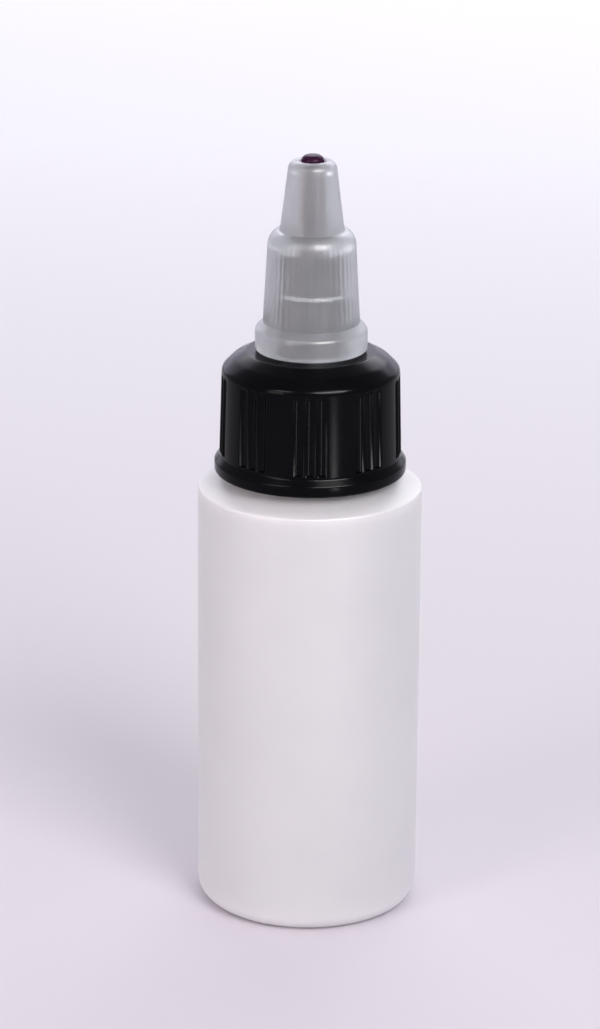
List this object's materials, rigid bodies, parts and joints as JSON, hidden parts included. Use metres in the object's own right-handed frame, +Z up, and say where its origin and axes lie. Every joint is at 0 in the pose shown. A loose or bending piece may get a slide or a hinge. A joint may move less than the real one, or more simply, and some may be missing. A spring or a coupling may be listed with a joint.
{
  "type": "dropper bottle",
  "caption": "Small round squeeze bottle with a fluted screw cap base and a tapered twist-open dropper spout closed by a plug pin.",
  "frame": {"origin": "centre of the bottle's base, in the plane it stands on", "axes": "+Z up along the bottle's axis towards the spout's tip; the middle of one group of grip flutes faces -Y, the front"},
  "size_m": [0.03, 0.03, 0.1042],
  "materials": {
    "bottle_plastic": "satin, milky translucent",
    "liner_foam": "matt foam",
    "cap_plastic": "semi-gloss moulded",
    "pin_plastic": "gloss moulded",
    "spout_plastic": "satin, milky translucent"
  },
  "bodies": {
    "bottle": {"squeeze_bottle": "bottle_plastic"},
    "liner": {"neck_liner": "liner_foam"},
    "cap": {"cap_base": "cap_plastic"},
    "pin": {"plug_pin": "pin_plastic"},
    "spout": {"twist_spout": "spout_plastic"}
  },
  "joints": [
    {"name": "cap_rise", "type": "slide", "parent": "bottle", "child": "liner", "axis": [0, 0, 1], "range_m": [0, 0.00476]},
    {"name": "cap_turn", "type": "hinge", "parent": "liner", "child": "cap", "pos_m": [0, 0, 0.0618], "axis": [0, 0, 1], "range_deg": [0, 540.01]},
    {"name": "spout_turn", "type": "hinge", "parent": "cap", "child": "pin", "pos_m": [0, 0, 0.078], "axis": [0, 0, 1], "range_deg": [0, 270.01]},
    {"name": "spout_rise", "type": "slide", "parent": "pin", "child": "spout", "axis": [0, 0, 1], "range_m": [0, 0.004]}
  ],
  "couplings": [
    {"joint": "cap_turn", "follows": "cap_rise", "rad_per_m": 1979},
    {"joint": "spout_turn", "follows": "spout_rise", "rad_per_m": 1178.1}
  ]
}
